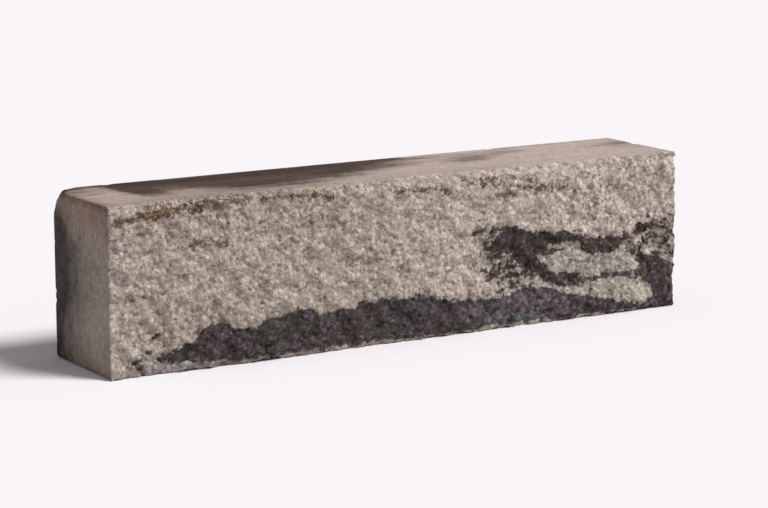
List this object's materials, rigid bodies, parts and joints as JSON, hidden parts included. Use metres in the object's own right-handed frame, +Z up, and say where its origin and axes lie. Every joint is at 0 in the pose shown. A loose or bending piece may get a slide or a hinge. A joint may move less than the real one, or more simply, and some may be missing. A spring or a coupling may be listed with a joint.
{
  "type": "retaining wall block",
  "caption": "Solid oblong concrete walling block with one rough split face and five smooth pressed sides, laid flat on its bed in courses.",
  "frame": {"origin": "centre of the bed, the flat underside of the pressed body, halfway between the back and the edge of the split face", "axes": "+X along the course from the left end to the right end, +Y from the split face towards the back, +Z up from the bed to the top"},
  "size_m": [0.4, 0.0793, 0.1],
  "materials": {
    "blended_concrete": "matte"
  },
  "bodies": {
    "root": {"wall_block": "blended_concrete"}
  },
  "joints": []
}
